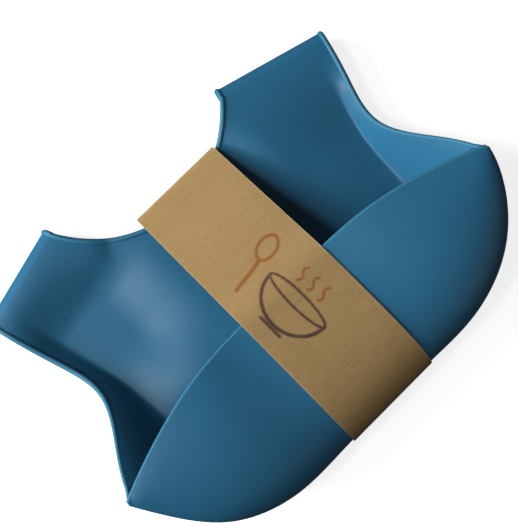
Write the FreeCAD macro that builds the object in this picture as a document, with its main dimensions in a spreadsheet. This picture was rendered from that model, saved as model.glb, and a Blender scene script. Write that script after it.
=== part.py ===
import FreeCAD, Part
import math
import os
from FreeCAD import Placement, Rotation, Vector

# A soft silicone bib with a catch pocket, lying on its back with its two neck straps folded
# behind it, in a closed sleeve of brown card. Millimetres, +Z up, +Y toward the neck.

doc = FreeCAD.newDocument("silicone_bib")
sheet = doc.addObject("Spreadsheet::Sheet", "sizes")

SIZES = [
    ("silicone_thickness", 2.0),
    ("body_gap", 0.3),
    # the neck opening and the straps, which follow two circles
    ("neck_centre_x", -1.5),
    ("neck_centre_y", 112.1),
    ("neck_radius", 61.2),
    ("strap_centre_x", -2.0),
    ("right_strap_y", 91.7),
    ("left_strap_y", 95.0),
    ("strap_radius", 81.2),
    ("strap_root_half", 26.4),
    ("strap_tip_half", 15.0),
    ("strap_end_angle", 62.0),
    # where each strap is folded: the neck end and the outer end of its fold
    ("right_neck_x", 48.5),
    ("right_neck_y", 78.7),
    ("right_outer_x", 104.0),
    ("right_outer_y", 64.1),
    ("left_neck_x", -58.3),
    ("left_neck_y", 87.6),
    ("left_outer_x", -107.9),
    ("left_outer_y", 73.9),
    ("fold_top_mid", 12.0),
    ("strap_mid", 1.0),
    # the floor of the panel: low under the pocket, raised where it lies on the straps
    ("floor_low_mid", 2.2),
    ("floor_high_mid", 8.4),
    ("ramp_start_y", -58.0),
    ("ramp_end_y", -12.0),
    ("right_valley_width", 48.0),
    ("left_valley_width", 30.0),
    ("band_valley_width", 18.0),
    ("valley_spread_start_x", 29.0),
    ("valley_spread_end_x", 49.0),
    # the floor sags on the left of the band and falls from its crown toward its valleys
    ("sag_mid", 4.4),
    ("sag_start_y", 66.0),
    ("sag_full_y", 42.0),
    ("sag_low_y", 24.0),
    ("sag_end_y", -12.0),
    ("sag_inner_x", 26.0),
    ("sag_outer_x", 62.0),
    ("crown_edge_share", 0.42),
    ("low_valley_share", 0.71),
    ("high_valley_share", 0.90),
    # the side edge of the panel, from the pocket's corner up past the armhole
    ("corner_x", 111.2),
    ("corner_y", -31.6),
    ("corner_mid", 41.0),
    ("lower_arm_x", 102.8),
    ("lower_arm_y", -12.6),
    ("lower_arm_mid", 28.5),
    ("armhole_x", 92.1),
    ("armhole_y", 13.5),
    ("armhole_mid", 14.5),
    ("upper_arm_x", 97.7),
    ("upper_arm_y", 38.0),
    ("upper_arm_mid", 11.0),
    ("shoulder_x", 106.3),
    ("shoulder_y", 70.0),
    ("shoulder_mid", 12.0),
    ("sheet_top_x", 109.5),
    ("sheet_top_y", 100.0),
    # the widest line of the pocket, from the right corner round to the left one
    ("right_flank_x", 106.8),
    ("right_flank_y", -48.4),
    ("right_hip_x", 91.8),
    ("right_hip_y", -67.5),
    ("right_base_x", 54.4),
    ("right_base_y", -82.8),
    ("left_flank_x", -103.7),
    ("left_flank_y", -47.1),
    ("left_hip_x", -86.7),
    ("left_hip_y", -69.4),
    ("left_base_x", -56.2),
    ("left_base_y", -82.5),
    ("flank_mid", 31.0),
    ("hip_mid", 24.0),
    ("base_mid", 18.8),
    ("pressed_base_x", 27.0),
    ("pressed_base_y", -83.2),
    ("pressed_base_mid", 17.1),
    ("bottom_y", -83.3),
    ("bottom_mid", 17.0),
    ("bowl_width", 13.0),
    ("bowl_width_at_sides", 22.0),
    ("bowl_aim_y", 45.0),
    # the rim of the pocket, half of it
    ("rim_outer_x", 79.0),
    ("rim_outer_y", -20.0),
    ("rim_outer_mid", 39.5),
    ("rim_inner_x", 50.0),
    ("rim_inner_y", -13.8),
    ("rim_inner_mid", 37.5),
    ("pressed_rim_x", 27.0),
    ("pressed_rim_y", -12.3),
    ("pressed_rim_mid", 34.2),
    ("rim_centre_y", -12.0),
    ("rim_centre_mid", 34.0),
    ("pocket_dome", 3.0),
    # the studs on the right strap and the holes in the left one
    ("stud_neck_radius", 2.2),
    ("stud_cap_radius", 3.4),
    ("stud_neck_height", 2.4),
    ("stud_cap_height", 1.3),
    ("stud_pitch_angle", 8.5),
    ("stud_end_distance", 13.0),
    ("hole_radius", 2.6),
    # the card sleeve
    ("card_thickness", 0.4),
    ("sleeve_width", 50.4),
    ("sleeve_centre_x", 2.4),
    ("sleeve_neck_y", 59.7),
    ("sleeve_neck_top", 12.4),
    ("sleeve_back_mid", 6.2),
    ("sleeve_clearance", 0.6),
    ("lap_inner_y", -46.0),
    ("lap_outer_y", -64.0),
    ("lap_upper_mid", 0.7),
    ("lap_rise_length", 34.0),
    ("glue_thickness", 0.1),
    ("glue_inset", 4.0),
]

for row, (name, value) in enumerate(SIZES, start=1):
    sheet.set(f"A{row}", name)
    sheet.set(f"B{row}", str(value))
    sheet.setAlias(f"B{row}", name)
doc.recompute()


def size(name):
    """One driving size from the sheet, in millimetres or degrees."""
    return float(getattr(sheet, name))


T = size("silicone_thickness")
GAP = size("body_gap")
FOLD_RADIUS = (size("fold_top_mid") - size("strap_mid")) / 2


def smooth(t):
    """0 below 0, 1 above 1, with level ends between."""
    t = min(max(t, 0.0), 1.0)
    return t * t * (3 - 2 * t)


def mix(a, b, t):
    return a + (b - a) * t


class Fold:
    """The line about which one strap is folded behind the panel."""

    def __init__(self, side):
        self.side = side
        neck = Vector(size(side + "_neck_x"), size(side + "_neck_y"), 0)
        outer = Vector(size(side + "_outer_x"), size(side + "_outer_y"), 0)
        along = outer - neck
        self.length = along.Length
        along.normalize()
        if side == "right":
            self.sign = 1
            self.normal = Vector(-along.y, along.x, 0)
        else:
            self.sign = -1
            self.normal = Vector(along.y, -along.x, 0)
        self.along = along
        # the fold's outermost line lies one radius and half a thickness past its start
        self.start = neck - self.normal * (FOLD_RADIUS + T / 2)
        self.axis = Vector(self.normal.y, -self.normal.x, 0)

    def distance(self, x, y):
        """How far past the start of the fold a point of the plan lies."""
        return (Vector(x, y, 0) - self.start).dot(self.normal)

    def at(self, out, z, t=0.0):
        """The point a distance out past the start, at height z, t along the fold."""
        point = self.start + self.normal * out + self.along * t
        point.z = z
        return point


RIGHT = Fold("right")
LEFT = Fold("left")
FOLD_MID = size("fold_top_mid") - FOLD_RADIUS


def floor_mid(x, y, outward):
    """The height of the panel's middle surface, outward 0 at its centre and 1 at its valleys."""
    climb = smooth((y - size("ramp_start_y")) / (size("ramp_end_y") - size("ramp_start_y")))
    inner = size("sag_inner_x")
    aside = smooth((-x - inner) / (size("sag_outer_x") - inner))
    start = size("sag_start_y")
    sag = aside * smooth((start - y) / (start - size("sag_full_y")))
    end = size("sag_end_y")
    sag = sag * smooth((y - end) / (size("sag_low_y") - end))
    crown = size("crown_edge_share")
    fall = smooth((outward - crown) / (1 - crown))
    high = mix(size("floor_high_mid"), size("sag_mid"), 1 - (1 - sag) * (1 - fall))
    return mix(size("floor_low_mid"), high, climb)


def point(name):
    """A named point of the outline, from its x, y and mid height."""
    return Vector(size(name + "_x"), size(name + "_y"), size(name + "_mid"))


def mirrored(points):
    return [Vector(-p.x, p.y, p.z) for p in points]


def curve_through(points):
    curve = Part.BSplineCurve()
    curve.interpolate(points)
    return curve


def at_share(curve, share):
    """The point a share of the way along a curve."""
    first, last = curve.FirstParameter, curve.LastParameter
    return curve.value(mix(first, last, share))


SHEET_TOP = Vector(size("sheet_top_x"), size("sheet_top_y"), size("shoulder_mid"))
SIDE = curve_through(
    [point(p) for p in ("corner", "lower_arm", "armhole", "upper_arm", "shoulder")] + [SHEET_TOP]
)


def lower_points(side):
    """Points of the pocket's widest line, from the middle of one side toward the base."""
    points = []
    for name in ("flank", "hip", "base"):
        x, y = size(f"{side}_{name}_x"), size(f"{side}_{name}_y")
        points.append(Vector(x, y, size(name + "_mid")))
    return points


PRESSED_BASE = [point("pressed_base")]
LOWER = curve_through(
    mirrored([point("corner")])
    + lower_points("left")
    + mirrored(PRESSED_BASE)
    + [Vector(0, size("bottom_y"), size("bottom_mid"))]
    + PRESSED_BASE
    + lower_points("right")[::-1]
    + [point("corner")]
)
HALF_RIM = [point(p) for p in ("corner", "rim_outer", "rim_inner", "pressed_rim")]
RIM = curve_through(
    mirrored(HALF_RIM)
    + [Vector(0, size("rim_centre_y"), size("rim_centre_mid"))]
    + HALF_RIM[::-1]
)


def hinge_ramp(t, rounding=0.3):
    """0 below the hinge, t above it, with a rounded valley between."""
    if t <= -rounding:
        return 0.0
    if t >= rounding:
        return t
    return (t + rounding) ** 2 / (4 * rounding)


BOWL_ROWS = 6
BODY_ROWS = 16
POCKET_ROWS = 14
COLUMNS = 36
# how much of the side edge the bowl takes up, and how fast the valleys draw outward above it
SIDE_SHARE_OF_BOWL = 0.04
VALLEY_CLIMB = 2.1
# the pocket stops just short of the corners
POCKET_END_SHARE = 0.015
# the handles that bend the pocket's wall upright below and nearly level at the rim
UPRIGHT_SHARE = 0.95
LEVEL_SHARE = 0.55
RIM_DOME = 1.3


def panel_mid(i, j):
    """A point of the panel's middle surface: row i from the pocket's bottom, column j."""
    u = -1 + 2 * j / COLUMNS
    low = at_share(LOWER, j / COLUMNS)
    turn = math.pi / 2 * min(i / BOWL_ROWS, 1.0)
    up = max(i - BOWL_ROWS, 0) / BODY_ROWS
    start = Vector(low.x, low.y, 0)
    inward = Vector(0, size("bowl_aim_y"), 0) - start
    inward.normalize()
    reach = mix(size("bowl_width"), size("bowl_width_at_sides"), u * u) * (1 - u**8)
    plan = start + inward * (reach * (1 - math.cos(turn)))
    plan = plan + (Vector(u * SHEET_TOP.x, SHEET_TOP.y, 0) - plan) * up
    # the outer columns are bent from straight lines to the curved side edge
    corner = point("corner")
    straight = corner + (SHEET_TOP - corner) * up
    bowl = SIDE_SHARE_OF_BOWL * (1 - math.cos(turn))
    side = at_share(SIDE, bowl + (1 - SIDE_SHARE_OF_BOWL) * up)
    bend = abs(u) ** 3
    x = plan.x + (side.x - straight.x) * bend * (1 if u > 0 else -1)
    y = plan.y + (side.y - straight.y) * bend
    valley = mix(size("low_valley_share"), size("high_valley_share"), smooth(up * VALLEY_CLIMB))
    z = mix(floor_mid(x, y, abs(u) / valley), side.z, hinge_ramp((abs(u) - valley) / (1 - valley)))
    # the slope down from each fold is short beside the band and longer away from it
    near = size("valley_spread_start_x")
    away = smooth((abs(x) - near) / (size("valley_spread_end_x") - near))
    for fold in (RIGHT, LEFT):
        width = mix(size("band_valley_width"), size(fold.side + "_valley_width"), away)
        rise = smooth(1 + fold.distance(x, y) / width)
        z = mix(z, size("fold_top_mid"), rise)
    return Vector(x, y, low.z - (low.z - z) * math.sin(turn))


def pocket_mid(i, j):
    """A point of the pocket's middle surface: row i from its widest line up to the rim."""
    share = mix(POCKET_END_SHARE, 1 - POCKET_END_SHARE, j / COLUMNS)
    low = at_share(LOWER, share)
    rim = at_share(RIM, share)
    v = i / POCKET_ROWS
    over = Vector(rim.x - low.x, rim.y - low.y, 0)
    # the wall leaves the widest line upright and reaches the rim nearly level
    dome = size("pocket_dome") * math.sin(math.pi * j / COLUMNS) ** 0.5
    handle_low = low + Vector(0, 0, (rim.z - low.z) * UPRIGHT_SHARE + dome)
    handle_rim = rim - over * LEVEL_SHARE + Vector(0, 0, dome * RIM_DOME)
    lower_part = low * (1 - v) ** 3 + handle_low * (3 * v * (1 - v) ** 2)
    return lower_part + handle_rim * (3 * v**2 * (1 - v)) + rim * v**3


def thick_sheet(mid, rows, columns):
    """A closed solid, one silicone thickness through, around a grid of middle points."""
    grid = [[mid(i, j) for j in range(columns + 1)] for i in range(rows + 1)]
    faces = []
    sides = []
    for half in (T / 2, -T / 2):
        moved = []
        for i in range(rows + 1):
            line = []
            for j in range(columns + 1):
                along_i = grid[min(i + 1, rows)][j] - grid[max(i - 1, 0)][j]
                along_j = grid[i][min(j + 1, columns)] - grid[i][max(j - 1, 0)]
                out = along_j.cross(along_i)
                out.normalize()
                line.append(grid[i][j] + out * half)
            moved.append(line)
        surface = Part.BSplineSurface()
        surface.interpolate(moved)
        sides.append(surface)
        faces.append(surface.toShape())
    upper, lower = sides
    u0, u1, v0, v1 = upper.bounds()
    for pick in (("u", u0), ("u", u1), ("v", v0), ("v", v1)):
        if pick[0] == "u":
            a, b = upper.uIso(pick[1]), lower.uIso(pick[1])
        else:
            a, b = upper.vIso(pick[1]), lower.vIso(pick[1])
        faces.append(Part.makeRuledSurface(a.toShape(), b.toShape()))
    shell = Part.makeShell(faces)
    shell.sewShape()
    solid = Part.makeSolid(shell)
    if solid.Volume < 0:
        solid.reverse()
    return solid


def feature(name, shape):
    """A document object holding a made shape, with its label the file's name."""
    made = doc.addObject("Part::Feature", name)
    made.Label = name
    made.Shape = shape
    return made


def arc_sheet(fold, first, last):
    """Part of the rolled fold, between two angles measured up from level."""
    r = FOLD_RADIUS
    steps = 12
    outer = []
    inner = []
    for n in range(steps + 1):
        a = math.radians(mix(first, last, n / steps))
        outer.append(fold.at((r + T / 2) * math.cos(a), FOLD_MID + (r + T / 2) * math.sin(a)))
        inner.append(fold.at((r - T / 2) * math.cos(a), FOLD_MID + (r - T / 2) * math.sin(a)))
    mid = (len(outer) - 1) // 2
    edges = [
        Part.Arc(outer[0], outer[mid], outer[-1]).toShape(),
        Part.makeLine(outer[-1], inner[-1]),
        Part.Arc(inner[-1], inner[mid], inner[0]).toShape(),
        Part.makeLine(inner[0], outer[0]),
    ]
    face = Part.Face(Part.Wire(edges))
    return face.extrude(fold.along * fold.length)


def strap_half(angle):
    """Half the strap's width at an angle up from level around its circle."""
    share = min(max((90 - angle) / 105, 0.0), 1.1)
    return mix(size("strap_tip_half"), size("strap_root_half"), share**3)


def ring_point(angle, radius, fold):
    """A point of the circle that one strap follows when it is opened flat."""
    a = math.radians(angle)
    x = size("strap_centre_x") + fold.sign * radius * math.cos(a)
    return Vector(x, size(fold.side + "_strap_y") + radius * math.sin(a), 0)


def strap_plan(fold):
    """The strap's outline opened flat, as a face, from the end of its fold to its round end."""
    end = size("strap_end_angle")
    tip = math.degrees(size("strap_tip_half") / size("strap_radius"))
    r = size("strap_radius")
    root = FOLD_RADIUS * 2 * math.sqrt(2)
    inner = [fold.at(root, 0)]
    outer = [fold.at(root, 0, fold.length)]
    for n in range(9):
        angle = mix(8, end - tip, n / 8)
        inner.append(ring_point(angle, r - strap_half(angle), fold))
        outer.append(ring_point(angle, r + strap_half(angle), fold))
    nose = ring_point(end, r, fold)
    edges = [
        curve_through(inner).toShape(),
        Part.Arc(inner[-1], nose, outer[-1]).toShape(),
        curve_through(outer[::-1]).toShape(),
        Part.makeLine(outer[0], inner[0]),
    ]
    return Part.Face(Part.Wire(edges))


def strap_shape(fold):
    """A strap lying folded behind the panel, with the lower part of its rolled fold."""
    slab = strap_plan(fold)
    slab.translate(Vector(0, 0, size("fold_top_mid") - T / 2))
    slab = slab.extrude(Vector(0, 0, T))
    for n in range(HOLES if fold is LEFT else 0):
        centre = ring_point(fastener_angle(n), size("strap_radius"), fold)
        slab = slab.cut(Part.makeCylinder(size("hole_radius"), 40, centre))
    slab.rotate(fold.at(FOLD_RADIUS * math.sqrt(2), FOLD_MID), fold.axis, 180)
    roll = arc_sheet(fold, -45 - CLEAR_ANGLE, -90)
    return slab.fuse(roll).removeSplitter()


def web_shape(fold):
    """The middle of the rolled fold, round at both ends, where it hinges."""
    web = arc_sheet(fold, 45, -45)
    for angle in (45, -45):
        a = math.radians(angle)
        centre = fold.at(FOLD_RADIUS * math.cos(a), FOLD_MID + FOLD_RADIUS * math.sin(a))
        web = web.fuse(Part.makeCylinder(T / 2, fold.length, centre, fold.along))
    return web.removeSplitter()


def fastener_angle(n):
    """Where a stud or hole stands around its strap, counted from the end inward."""
    inset = math.degrees(size("stud_end_distance") / size("strap_radius"))
    return size("strap_end_angle") - inset - n * size("stud_pitch_angle")


def folded(fold, spot, height):
    """Where a spot of the opened strap's plan lies once folded back, at a given height."""
    out = fold.distance(spot.x, spot.y)
    along = (spot - fold.start).dot(fold.along)
    return fold.at(2 * FOLD_RADIUS * math.sqrt(2) - out, height, along)


def sleeve_line():
    """The middle line of the card, in the plane across the pocket, from lap to lap."""
    rest = size("lap_upper_mid")
    base = size("bottom_mid")
    foot = size("bottom_y") + size("bowl_width")
    off = T / 2 + size("sleeve_clearance")
    line = [Vector(0, mix(size("lap_inner_y"), foot, n / 4), rest) for n in range(4)]
    for n in range(9):
        a = math.pi / 2 * n / 9
        reach = size("bowl_width") + off
        line.append(Vector(0, foot - reach * math.sin(a), base - (base - rest) * math.cos(a)))
    column = COLUMNS // 2
    for i in range(POCKET_ROWS + 1):
        here = pocket_mid(i, column)
        ahead = pocket_mid(min(i + 1, POCKET_ROWS), column)
        behind = pocket_mid(max(i - 1, 0), column)
        run = ahead - behind
        out = Vector(0, -run.z, run.y)
        out.normalize()
        line.append(Vector(0, here.y, here.z) + out * off)
    turn = (size("sleeve_neck_top") - size("sleeve_back_mid")) / 2
    far = size("sleeve_neck_y") - turn
    last = line[-1]
    top = Vector(0, far, size("sleeve_neck_top"))
    line += [last + (top - last) * (n / 6) for n in range(1, 6)]
    middle = size("sleeve_back_mid") + turn
    for n in range(9):
        a = math.radians(mix(75, -90, n / 8))
        line.append(Vector(0, far + turn * math.cos(a), middle + turn * math.sin(a)))
    low = size("card_thickness") / 2
    for n in range(1, 61):
        y = mix(far, size("lap_outer_y"), n / 60)
        rise = smooth((y - size("lap_inner_y")) / size("lap_rise_length"))
        line.append(Vector(0, y, mix(low, size("sleeve_back_mid"), rise)))
    return line


def sleeve_shape():
    """The card sleeve: one strip round the bib, its ends lapped underneath."""
    line = sleeve_line()
    half = size("card_thickness") / 2
    offsets = []
    for sign in (1, -1):
        moved = []
        for n, here in enumerate(line):
            run = line[min(n + 1, len(line) - 1)] - line[max(n - 1, 0)]
            out = Vector(0, -run.z, run.y)
            out.normalize()
            moved.append(here + out * (half * sign))
        offsets.append(moved)
    outer, inner = offsets
    edges = [
        curve_through(outer).toShape(),
        Part.makeLine(outer[-1], inner[-1]),
        curve_through(inner[::-1]).toShape(),
        Part.makeLine(inner[0], outer[0]),
    ]
    face = Part.Face(Part.Wire(edges))
    face.translate(Vector(size("sleeve_centre_x") - size("sleeve_width") / 2, 0, 0))
    return face.extrude(Vector(size("sleeve_width"), 0, 0))


def bound(kind, name, sizes):
    """A Part primitive whose sizes follow the sheet."""
    made = doc.addObject(kind, name)
    made.Label = name
    for prop, expression in sizes.items():
        made.setExpression(prop, expression)
    return made


def add_stud(n, fold):
    """One snap stud: a neck and a wider cap standing up from the folded strap."""
    spot = ring_point(fastener_angle(n), size("strap_radius"), fold)
    neck = bound(
        "Part::Cylinder",
        f"stud_{n + 1}_neck",
        {"Radius": "sizes.stud_neck_radius", "Height": "sizes.stud_neck_height"},
    )
    cap = bound(
        "Part::Cone",
        f"stud_{n + 1}_cap",
        {
            "Radius1": "sizes.stud_cap_radius",
            "Radius2": "sizes.stud_neck_radius",
            "Height": "sizes.stud_cap_height",
        },
    )
    foot = size("strap_mid") + T / 2
    neck.Placement = Placement(folded(fold, spot, foot), Rotation())
    cap.Placement = Placement(folded(fold, spot, foot + size("stud_neck_height")), Rotation())
    stud = doc.addObject("Part::MultiFuse", f"stud_{n + 1}")
    stud.Label = f"stud_{n + 1}"
    stud.Shapes = [neck, cap]
    return stud


def panel_shape():
    """The panel: a curved sheet cut to the neckline, its folds rolled over at both shoulders."""
    shape = thick_sheet(panel_mid, BOWL_ROWS + BODY_ROWS, COLUMNS)
    middle = Vector(size("neck_centre_x"), size("neck_centre_y"), -20)
    shape = shape.cut(Part.makeCylinder(size("neck_radius"), 80, middle))
    for fold in (RIGHT, LEFT):
        past = Part.makeBox(400, 200, 80, Vector(-200, 0, -20))
        facing = math.degrees(math.atan2(fold.normal.y, fold.normal.x)) - 90
        past.rotate(Vector(0, 0, 0), Vector(0, 0, 1), facing)
        past.translate(fold.start)
        shape = shape.cut(past)
    for fold in (RIGHT, LEFT):
        shape = shape.fuse(arc_sheet(fold, 90, 45 + CLEAR_ANGLE))
    return shape


STUDS = 3
HOLES = 5
CLEAR_ANGLE = math.degrees(math.asin((T / 2 + GAP) / FOLD_RADIUS))

panel = panel_shape()
# the pocket ends on the panel, along the widest line of the bowl
pocket = thick_sheet(pocket_mid, POCKET_ROWS, COLUMNS).cut(panel)

kept = [
    feature("bib_panel", panel),
    feature("catch_pocket", pocket),
    feature("right_fold", web_shape(RIGHT)),
    feature("left_fold", web_shape(LEFT)),
    feature("right_strap", strap_shape(RIGHT)),
    feature("left_strap", strap_shape(LEFT)),
    feature("card_sleeve", sleeve_shape()),
]
kept += [add_stud(n, RIGHT) for n in range(STUDS)]

glue = bound(
    "Part::Box",
    "sleeve_glue",
    {
        "Length": "sizes.sleeve_width - 2 * sizes.glue_inset",
        "Width": "sizes.lap_inner_y - sizes.lap_outer_y - 2 * sizes.glue_inset",
        "Height": "sizes.glue_thickness",
    },
)
glue.Placement.Base = Vector(
    size("sleeve_centre_x") - size("sleeve_width") / 2 + size("glue_inset"),
    size("lap_outer_y") + size("glue_inset"),
    size("card_thickness"),
)
kept.append(glue)

doc.recompute()
for thing in doc.Objects:
    if "Invalid" in thing.State or "Error" in thing.State:
        raise RuntimeError(f"{thing.Label} didn't recompute: {thing.State}")
os.makedirs("parts", exist_ok=True)
for thing in kept:
    shape = thing.Shape
    if shape.isNull() or not shape.isValid() or len(shape.Solids) != 1:
        raise RuntimeError(f"{thing.Label} isn't one valid solid")
    shape.exportStep("parts/" + thing.Label + ".step")
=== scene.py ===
import math

import bpy
import numpy as np
from mathutils import Matrix, Vector


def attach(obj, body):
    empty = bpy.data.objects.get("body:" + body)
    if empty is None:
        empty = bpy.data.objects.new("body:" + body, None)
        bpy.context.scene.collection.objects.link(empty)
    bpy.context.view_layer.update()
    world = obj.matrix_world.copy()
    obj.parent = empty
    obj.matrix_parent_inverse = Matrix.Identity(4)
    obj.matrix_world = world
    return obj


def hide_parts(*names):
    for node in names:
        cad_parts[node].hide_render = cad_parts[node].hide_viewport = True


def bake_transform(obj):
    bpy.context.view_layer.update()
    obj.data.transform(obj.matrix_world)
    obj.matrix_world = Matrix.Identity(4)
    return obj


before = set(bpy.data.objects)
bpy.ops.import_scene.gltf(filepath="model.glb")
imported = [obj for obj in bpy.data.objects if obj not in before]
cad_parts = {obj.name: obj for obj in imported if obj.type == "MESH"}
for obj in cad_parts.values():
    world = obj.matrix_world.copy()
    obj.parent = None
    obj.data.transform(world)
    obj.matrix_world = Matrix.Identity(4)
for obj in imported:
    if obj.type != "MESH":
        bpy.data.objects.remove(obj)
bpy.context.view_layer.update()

# A silicone bib with a catch pocket, lying on its back in a sleeve of brown card. The shapes are
# worked out in millimetres, with +Z up and +Y toward the neck, and made in metres.
MM = 0.001

THICKNESS = 2.0

# the rolled folds
FOLD_TOP = 12.0
STRAP_LEVEL = 1.0
FOLD_RADIUS = (FOLD_TOP - STRAP_LEVEL) / 2
FOLD_MIDDLE = FOLD_TOP - FOLD_RADIUS
HALF_ROLL = math.pi * FOLD_RADIUS / 2
STRAP_ROOT = 2 * math.sqrt(2) * FOLD_RADIUS

# the neckline and the straps, which follow two circles
NECK_CENTRE = np.array((-1.5, 112.1))
NECK_RADIUS = 61.2
STRAP_CENTRE_X = -2.0
STRAP_CENTRE_Y = {"right": 91.7, "left": 95.0}
STRAP_RADIUS = 81.2
STRAP_ROOT_HALF = 26.4
STRAP_TIP_HALF = 15.0
STRAP_START_ANGLE = 8.0
STRAP_END_ANGLE = 62.0
# the straps taper toward this angle, over that many degrees
STRAP_TAPER_ANGLE = 90.0
STRAP_TAPER_SPAN = 105.0
# where each fold lies in plan: its neck end and its outer end
FOLD_ENDS = {
    "right": ((48.5, 78.7), (104.0, 64.1)),
    "left": ((-58.3, 87.6), (-107.9, 73.9)),
}

# the floor of the panel: low under the pocket, raised where it lies on the straps
FLOOR_LOW = 2.2
FLOOR_HIGH = 8.4
RAMP_START_Y = -58.0
RAMP_END_Y = -12.0
VALLEY_WIDTH = {"right": 48.0, "left": 30.0}
BAND_VALLEY_WIDTH = 18.0
VALLEY_SPREAD_START = 29.0
VALLEY_SPREAD_END = 49.0
SAG_LEVEL = 4.4
SAG_START_Y = 66.0
SAG_FULL_Y = 42.0
SAG_LOW_Y = 24.0
SAG_END_Y = -12.0
SAG_INNER = 26.0
SAG_OUTER = 62.0
CROWN_EDGE = 0.42
VALLEY_LOW = 0.71
VALLEY_HIGH = 0.90
VALLEY_CLIMB = 2.1
BOWL_WIDTH = 13.0
BOWL_WIDTH_AT_SIDES = 22.0
BOWL_AIM_Y = 45.0
# how much of the side edge the bowl takes up
SIDE_SHARE_OF_BOWL = 0.04
CORNER = (111.2, -31.6, 41.0)
SIDE_POINTS = [
    CORNER,
    (102.8, -12.6, 28.5),
    (92.1, 13.5, 14.5),
    (97.7, 38.0, 11.0),
    (106.3, 70.0, 12.0),
    (109.5, 100.0, 12.0),
]
SHEET_TOP = np.array(SIDE_POINTS[-1][:2])
# the widest line of the pocket, from the left corner round to the right one
LOWER_POINTS = [
    (-111.2, -31.6, 41.0),
    (-103.7, -47.1, 31.0),
    (-86.7, -69.4, 24.0),
    (-56.2, -82.5, 18.8),
    (-27.0, -83.2, 17.1),
    (0.0, -83.3, 17.0),
    (27.0, -83.2, 17.1),
    (54.4, -82.8, 18.8),
    (91.8, -67.5, 24.0),
    (106.8, -48.4, 31.0),
    CORNER,
]
BOTTOM = LOWER_POINTS[5]
HALF_RIM = [CORNER, (79.0, -20.0, 39.5), (50.0, -13.8, 37.5), (27.0, -12.3, 34.2)]
RIM_CENTRE = (0.0, -12.0, 34.0)
# the wall is domed between its ends, and its mesh stops just short of the corners
POCKET_END_SHARE = 0.015
POCKET_INSET = 0.004
POCKET_DOME = 3.0
# the handles that bend the wall upright below and nearly level at the rim
UPRIGHT_SHARE = 0.95
LEVEL_SHARE = 0.55
RIM_DOME = 1.3

# radii of the bead and of the fine rounded edges, and how far the bead stands proud
BEAD = 1.4
FINE_EDGE = 1.05
BEAD_LIFT = 0.35
STRAP_BEAD_LIFT = -0.4
# where the side edge starts to thicken from a fine edge to a bead, and over what length
BEAD_FADE_Y = -15.0
BEAD_FADE_LENGTH = 45.0

# how much of the strap's own slope its inner edge keeps where it leaves the roll
ROLL_EASE = 0.25
# how far that edge is kept under the panel's neckline, and over what length it comes to that
STRAP_TUCK = 0.6
STRAP_TUCK_LENGTH = 3.0

STUDS = 3
HOLES = 5
STUD_NECK = 2.2
STUD_CAP = 3.4
STUD_NECK_HEIGHT = 2.4
STUD_HEIGHT = 3.7
STUD_RINGS = 60
STUD_SEGMENTS = 48
STUD_PITCH_ANGLE = 8.5
STUD_END_DISTANCE = 13.0
HOLE_RADIUS = 2.6
HOLE_RING = 0.45

CARD_THICKNESS = 0.4
SLEEVE_WIDTH = 50.4
SLEEVE_CENTRE_X = 2.4
SLEEVE_NECK_Y = 59.7
SLEEVE_NECK_TOP = 12.4
SLEEVE_BACK = 6.2
SLEEVE_CLEARANCE = 0.6
LAP_INNER_Y = -46.0
LAP_OUTER_Y = -64.0
LAP_UPPER = 0.7
LAP_RISE_LENGTH = 34.0
WALL_STEPS = 12
# the sleeve's mesh is finer where the drawing is
SLEEVE_COLUMNS = 120
COARSE_ROW = 1.2
FINE_ROW = 0.42
DRAWING_HALF = 30.0
PEN_SOFTNESS = 0.45
CUT_PALENESS = 0.75

# the rows by which the panel is measured, then the rows and columns of the meshes
BOWL_ROWS = 6
BODY_ROWS = 16
BOWL_MESH_ROWS = 18
CLIMB_MESH_ROWS = 120
SIDE_COLUMNS = 40
NECK_COLUMNS = 90
POCKET_MESH_ROWS = 80
POCKET_COLUMNS = 170
STRAP_COLUMNS = 36
ROLL_ROWS = 48
STRAP_ROWS = 60
ROUND_END_ROWS = 15


def smooth(t):
    t = np.clip(t, 0, 1)
    return t * t * (3 - 2 * t)


def mix(a, b, t):
    return a + (b - a) * t


def unit(v):
    return v / np.linalg.norm(v, axis=-1, keepdims=True)


class Curve:
    """A cubic spline through points, timed by the straight distances between them."""

    def __init__(self, points):
        self.points = np.array(points, float)
        self.gaps = np.linalg.norm(np.diff(self.points, axis=0), axis=1)
        self.times = np.concatenate(([0.0], np.cumsum(self.gaps)))
        count = len(self.points)
        matrix = np.zeros((count, count))
        target = np.zeros_like(self.points)
        matrix[0, 0] = matrix[-1, -1] = 1
        target[0] = self.end_slope(0, slice(0, 4))
        target[-1] = self.end_slope(-1, slice(-4, None))
        steps = np.diff(self.points, axis=0) / self.gaps[:, None]
        for i in range(1, count - 1):
            before, after = self.gaps[i - 1], self.gaps[i]
            matrix[i, i - 1] = 1 / before
            matrix[i, i] = 2 / before + 2 / after
            matrix[i, i + 1] = 1 / after
            target[i] = 3 * (steps[i - 1] / before + steps[i] / after)
        self.slopes = np.linalg.solve(matrix, target)

    def end_slope(self, end, near):
        """The slope at one end of the cubic through the four points nearest to it."""
        times = self.times[near] - self.times[end]
        powers = np.vander(times, len(times), increasing=True)
        return np.linalg.solve(powers, self.points[near])[1]

    def at(self, share):
        share = np.asarray(share, float)
        time = share * self.times[-1]
        i = np.clip(np.searchsorted(self.times, time, side="right") - 1, 0, len(self.gaps) - 1)
        gap = self.gaps[i][..., None]
        s = ((time - self.times[i]) / self.gaps[i])[..., None]
        rest = 1 - s
        ends = self.points[i] * (1 + 2 * s) * rest**2 + self.points[i + 1] * (3 - 2 * s) * s**2
        return ends + gap * s * rest * (self.slopes[i] * rest - self.slopes[i + 1] * s)


def mirrored(points):
    return [(-x, y, z) for x, y, z in points]


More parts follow.
